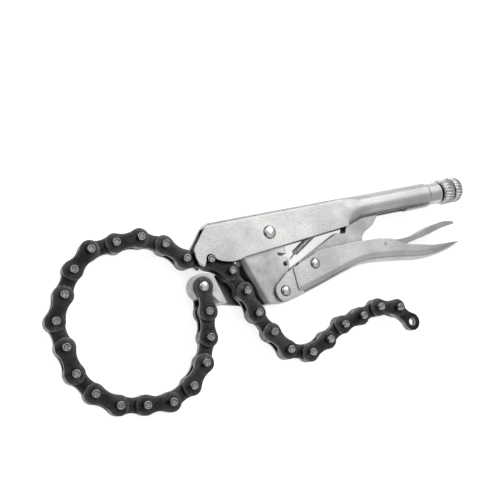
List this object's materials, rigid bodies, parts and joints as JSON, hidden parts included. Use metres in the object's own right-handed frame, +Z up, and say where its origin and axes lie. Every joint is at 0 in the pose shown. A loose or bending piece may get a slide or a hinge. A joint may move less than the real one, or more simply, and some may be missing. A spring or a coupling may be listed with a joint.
{
  "type": "locking chain clamp",
  "caption": "Locking pliers with a leaf chain in place of jaws: channel handle with knurled adjusting screw, lower lever, toggle link, release lever, and a chain loop hung in the nose notch.",
  "frame": {"origin": "centre of the footprint on the table the tool lies on", "axes": "+X along the upper handle towards its adjusting knob, +Z up, parallel to every pivot, +Y towards the upper handle's back"},
  "size_m": [0.3234, 0.1128, 0.0207],
  "materials": {
    "nickel_handle": "bright nickel plate over pressed sheet steel, satin with faint brushing",
    "nickel_jaw": "nickel plate over a forging, satin",
    "nickel_inner": "nickel plate, satin",
    "nickel_knob": "nickel plate, knurled",
    "rivet_steel": "polished rivet heads",
    "screw_steel": "plain steel, oiled",
    "spring_steel": "dark oiled spring wire",
    "chain_steel": "black oxide plates, oiled, with bare worn pin ends"
  },
  "bodies": {
    "handle": {"upper_handle": "nickel_handle", "main_rivet": "rivet_steel", "spring": "spring_steel"},
    "jaw": {"jaw": "nickel_jaw", "anchor_rivet": "rivet_steel"},
    "lever": {"lower_lever": "nickel_handle", "jaw_lever_rivet": "rivet_steel", "link_rivet": "rivet_steel"},
    "toggle": {"toggle_link": "nickel_inner"},
    "release": {"release_lever": "nickel_inner"},
    "screw": {"adjusting_screw": "screw_steel"},
    "knob": {"adjusting_knob": "nickel_knob"},
    "link_01": {"anchor_link_01": "chain_steel"},
    "link_02": {"outer_link_02": "chain_steel"},
    "link_03": {"inner_link_03": "chain_steel"},
    "link_04": {"outer_link_04": "chain_steel"},
    "link_05": {"inner_link_05": "chain_steel"},
    "link_06": {"outer_link_06": "chain_steel"},
    "link_07": {"inner_link_07": "chain_steel"},
    "link_08": {"outer_link_08": "chain_steel"},
    "link_09": {"inner_link_09": "chain_steel"},
    "link_10": {"outer_link_10": "chain_steel"},
    "link_11": {"inner_link_11": "chain_steel"},
    "link_12": {"outer_link_12": "chain_steel"},
    "link_13": {"inner_link_13": "chain_steel"},
    "link_14": {"outer_link_14": "chain_steel"},
    "link_15": {"inner_link_15": "chain_steel"},
    "link_16": {"outer_link_16": "chain_steel"},
    "link_17": {"inner_link_17": "chain_steel"},
    "link_18": {"outer_link_18": "chain_steel"},
    "link_19": {"inner_link_19": "chain_steel"},
    "link_20": {"outer_link_20": "chain_steel"},
    "link_21": {"inner_link_21": "chain_steel"},
    "link_22": {"outer_link_22": "chain_steel"},
    "link_23": {"inner_link_23": "chain_steel"},
    "link_24": {"outer_link_24": "chain_steel"},
    "link_25": {"inner_link_25": "chain_steel"},
    "link_26": {"outer_link_26": "chain_steel"},
    "link_27": {"inner_link_27": "chain_steel"},
    "link_28": {"outer_link_28": "chain_steel"},
    "link_29": {"inner_link_29": "chain_steel"},
    "link_30": {"outer_link_30": "chain_steel"},
    "link_31": {"eye_link_31": "chain_steel"}
  },
  "joints": [
    {"name": "jaw_hinge", "type": "hinge", "parent": "handle", "child": "jaw", "pos_m": [-0.0089, 0.03728, 0.011], "axis": [0, 0, 1], "range_deg": [0, 3], "deforming": ["spring"]},
    {"name": "lever_hinge", "type": "hinge", "parent": "jaw", "child": "lever", "pos_m": [-0.0085, -0.00242, 0.011], "axis": [0, 0, 1], "range_deg": [-23.6, 1.5]},
    {"name": "toggle_hinge", "type": "hinge", "parent": "lever", "child": "toggle", "pos_m": [0.01791, 0.01068, 0.011], "axis": [0, 0, 1], "range_deg": [-1.5, 28.9]},
    {"name": "release_hinge", "type": "hinge", "parent": "lever", "child": "release", "pos_m": [0.0777, 0.01298, 0.011], "axis": [0, 0, 1], "range_deg": [-9, 2]},
    {"name": "screw_slide", "type": "slide", "parent": "handle", "child": "screw", "axis": [1, 0, 0], "range_m": [-0.0009, 0.0114]},
    {"name": "knob_turn", "type": "hinge", "parent": "screw", "child": "knob", "pos_m": [0.1511, 0.04258, 0.011], "axis": [1, 0, 0], "range_deg": [-180, 2520]},
    {"name": "loop_hinge_01", "type": "hinge", "parent": "jaw", "child": "link_01", "pos_m": [-0.06269, 0.01237, 0.011], "axis": [0, 0, 1], "range_deg": [-1.32, 0.6]},
    {"name": "loop_hinge_02", "type": "hinge", "parent": "link_01", "child": "link_02", "pos_m": [-0.06391, -0.00346, 0.011], "axis": [0, 0, 1], "range_deg": [-1.3, 0.6]},
    {"name": "loop_hinge_03", "type": "hinge", "parent": "link_02", "child": "link_03", "pos_m": [-0.0671, -0.01901, 0.011], "axis": [0, 0, 1], "range_deg": [-1.2, 0.6]},
    {"name": "loop_hinge_04", "type": "hinge", "parent": "link_03", "child": "link_04", "pos_m": [-0.07389, -0.03336, 0.011], "axis": [0, 0, 1], "range_deg": [-1.02, 0.6]},
    {"name": "loop_hinge_05", "type": "hinge", "parent": "link_04", "child": "link_05", "pos_m": [-0.08525, -0.04445, 0.011], "axis": [0, 0, 1], "range_deg": [-0.81, 0.6]},
    {"name": "loop_hinge_06", "type": "hinge", "parent": "link_05", "child": "link_06", "pos_m": [-0.10004, -0.05021, 0.011], "axis": [0, 0, 1], "range_deg": [-0.62, 0.6]},
    {"name": "loop_hinge_07", "type": "hinge", "parent": "link_06", "child": "link_07", "pos_m": [-0.11572, -0.04776, 0.011], "axis": [0, 0, 1], "range_deg": [-0.6, 0.66]},
    {"name": "loop_hinge_08", "type": "hinge", "parent": "link_07", "child": "link_08", "pos_m": [-0.13106, -0.04365, 0.011], "axis": [0, 0, 1], "range_deg": [-0.6, 0.73]},
    {"name": "loop_hinge_09", "type": "hinge", "parent": "link_08", "child": "link_09", "pos_m": [-0.14322, -0.03344, 0.011], "axis": [0, 0, 1], "range_deg": [-0.6, 0.71]},
    {"name": "loop_hinge_10", "type": "hinge", "parent": "link_09", "child": "link_10", "pos_m": [-0.15135, -0.01981, 0.011], "axis": [0, 0, 1], "range_deg": [-0.6, 0.63]},
    {"name": "loop_hinge_19", "type": "hinge", "parent": "handle", "child": "link_19", "pos_m": [-0.05389, 0.02808, 0.011], "axis": [0, 0, 1], "range_deg": [-0.6, 1.29]},
    {"name": "loop_hinge_18", "type": "hinge", "parent": "link_19", "child": "link_18", "pos_m": [-0.06934, 0.03173, 0.011], "axis": [0, 0, 1], "range_deg": [-0.6, 1.21]},
    {"name": "loop_hinge_17", "type": "hinge", "parent": "link_18", "child": "link_17", "pos_m": [-0.08045, 0.04307, 0.011], "axis": [0, 0, 1], "range_deg": [-0.6, 1.19]},
    {"name": "loop_hinge_16", "type": "hinge", "parent": "link_17", "child": "link_16", "pos_m": [-0.09463, 0.0502, 0.011], "axis": [0, 0, 1], "range_deg": [-0.6, 1.08]},
    {"name": "loop_hinge_15", "type": "hinge", "parent": "link_16", "child": "link_15", "pos_m": [-0.1105, 0.04981, 0.011], "axis": [0, 0, 1], "range_deg": [-0.6, 0.93]},
    {"name": "loop_hinge_14", "type": "hinge", "parent": "link_15", "child": "link_14", "pos_m": [-0.12633, 0.04852, 0.011], "axis": [0, 0, 1], "range_deg": [-0.6, 0.78]},
    {"name": "loop_hinge_13", "type": "hinge", "parent": "link_14", "child": "link_13", "pos_m": [-0.13878, 0.03868, 0.011], "axis": [0, 0, 1], "range_deg": [-0.6, 0.69]},
    {"name": "loop_hinge_12", "type": "hinge", "parent": "link_13", "child": "link_12", "pos_m": [-0.14748, 0.02539, 0.011], "axis": [0, 0, 1], "range_deg": [-0.6, 0.65]},
    {"name": "loop_hinge_11", "type": "hinge", "parent": "link_12", "child": "link_11", "pos_m": [-0.15546, 0.01167, 0.011], "axis": [0, 0, 1], "range_deg": [-0.6, 0.63]},
    {"name": "tail_hinge_20", "type": "hinge", "parent": "handle", "child": "link_20", "pos_m": [-0.05389, 0.02808, 0.011], "axis": [0, 0, 1], "range_deg": [-4, 1]},
    {"name": "tail_hinge_21", "type": "hinge", "parent": "link_20", "child": "link_21", "pos_m": [-0.04159, 0.01804, 0.011], "axis": [0, 0, 1], "range_deg": [-6, 1.5]},
    {"name": "tail_hinge_22", "type": "hinge", "parent": "link_21", "child": "link_22", "pos_m": [-0.03503, 0.00359, 0.011], "axis": [0, 0, 1], "range_deg": [-20, 4]},
    {"name": "tail_hinge_23", "type": "hinge", "parent": "link_22", "child": "link_23", "pos_m": [-0.03093, -0.01175, 0.011], "axis": [0, 0, 1], "range_deg": [-40, 8]},
    {"name": "tail_hinge_24", "type": "hinge", "parent": "link_23", "child": "link_24", "pos_m": [-0.02389, -0.02598, 0.011], "axis": [0, 0, -1], "range_deg": [-10, 45]},
    {"name": "tail_hinge_25", "type": "hinge", "parent": "link_24", "child": "link_25", "pos_m": [-0.01557, -0.0395, 0.011], "axis": [0, 0, 1], "range_deg": [-45, 12]},
    {"name": "tail_hinge_26", "type": "hinge", "parent": "link_25", "child": "link_26", "pos_m": [-0.00069, -0.04503, 0.011], "axis": [0, 0, -1], "range_deg": [-16, 45]},
    {"name": "tail_hinge_27", "type": "hinge", "parent": "link_26", "child": "link_27", "pos_m": [0.01446, -0.04031, 0.011], "axis": [0, 0, 1], "range_deg": [-45, 20]},
    {"name": "tail_hinge_28", "type": "hinge", "parent": "link_27", "child": "link_28", "pos_m": [0.02874, -0.03338, 0.011], "axis": [0, 0, -1], "range_deg": [-25, 45]},
    {"name": "tail_hinge_29", "type": "hinge", "parent": "link_28", "child": "link_29", "pos_m": [0.04445, -0.03109, 0.011], "axis": [0, 0, 1], "range_deg": [-45, 35]},
    {"name": "tail_hinge_30", "type": "hinge", "parent": "link_29", "child": "link_30", "pos_m": [0.0601, -0.02839, 0.011], "axis": [0, 0, -1], "range_deg": [-50, 45]},
    {"name": "tail_hinge_31", "type": "hinge", "parent": "link_30", "child": "link_31", "pos_m": [0.07551, -0.0322, 0.011], "axis": [0, 0, 1], "range_deg": [-60, 60]}
  ],
  "couplings": [
    {"joint": "lever_hinge", "follows": "jaw_hinge", "ratio": -7.2},
    {"joint": "toggle_hinge", "follows": "jaw_hinge", "ratio": 8.9593},
    {"joint": "screw_slide", "follows": "knob_turn", "m_per_rad": 0.00025266},
    {"joint": "loop_hinge_01", "follows": "jaw_hinge", "ratio": -0.2414},
    {"joint": "loop_hinge_02", "follows": "jaw_hinge", "ratio": -0.2347},
    {"joint": "loop_hinge_03", "follows": "jaw_hinge", "ratio": -0.2001},
    {"joint": "loop_hinge_04", "follows": "jaw_hinge", "ratio": -0.1406},
    {"joint": "loop_hinge_05", "follows": "jaw_hinge", "ratio": -0.0698},
    {"joint": "loop_hinge_06", "follows": "jaw_hinge", "ratio": -0.0082},
    {"joint": "loop_hinge_07", "follows": "jaw_hinge", "ratio": 0.0214},
    {"joint": "loop_hinge_08", "follows": "jaw_hinge", "ratio": 0.044},
    {"joint": "loop_hinge_09", "follows": "jaw_hinge", "ratio": 0.0371},
    {"joint": "loop_hinge_10", "follows": "jaw_hinge", "ratio": 0.0101},
    {"joint": "loop_hinge_19", "follows": "jaw_hinge", "ratio": 0.231},
    {"joint": "loop_hinge_18", "follows": "jaw_hinge", "ratio": 0.2023},
    {"joint": "loop_hinge_17", "follows": "jaw_hinge", "ratio": 0.1954},
    {"joint": "loop_hinge_16", "follows": "jaw_hinge", "ratio": 0.1597},
    {"joint": "loop_hinge_15", "follows": "jaw_hinge", "ratio": 0.1102},
    {"joint": "loop_hinge_14", "follows": "jaw_hinge", "ratio": 0.0604},
    {"joint": "loop_hinge_13", "follows": "jaw_hinge", "ratio": 0.0303},
    {"joint": "loop_hinge_12", "follows": "jaw_hinge", "ratio": 0.0183},
    {"joint": "loop_hinge_11", "follows": "jaw_hinge", "ratio": 0.0105}
  ]
}
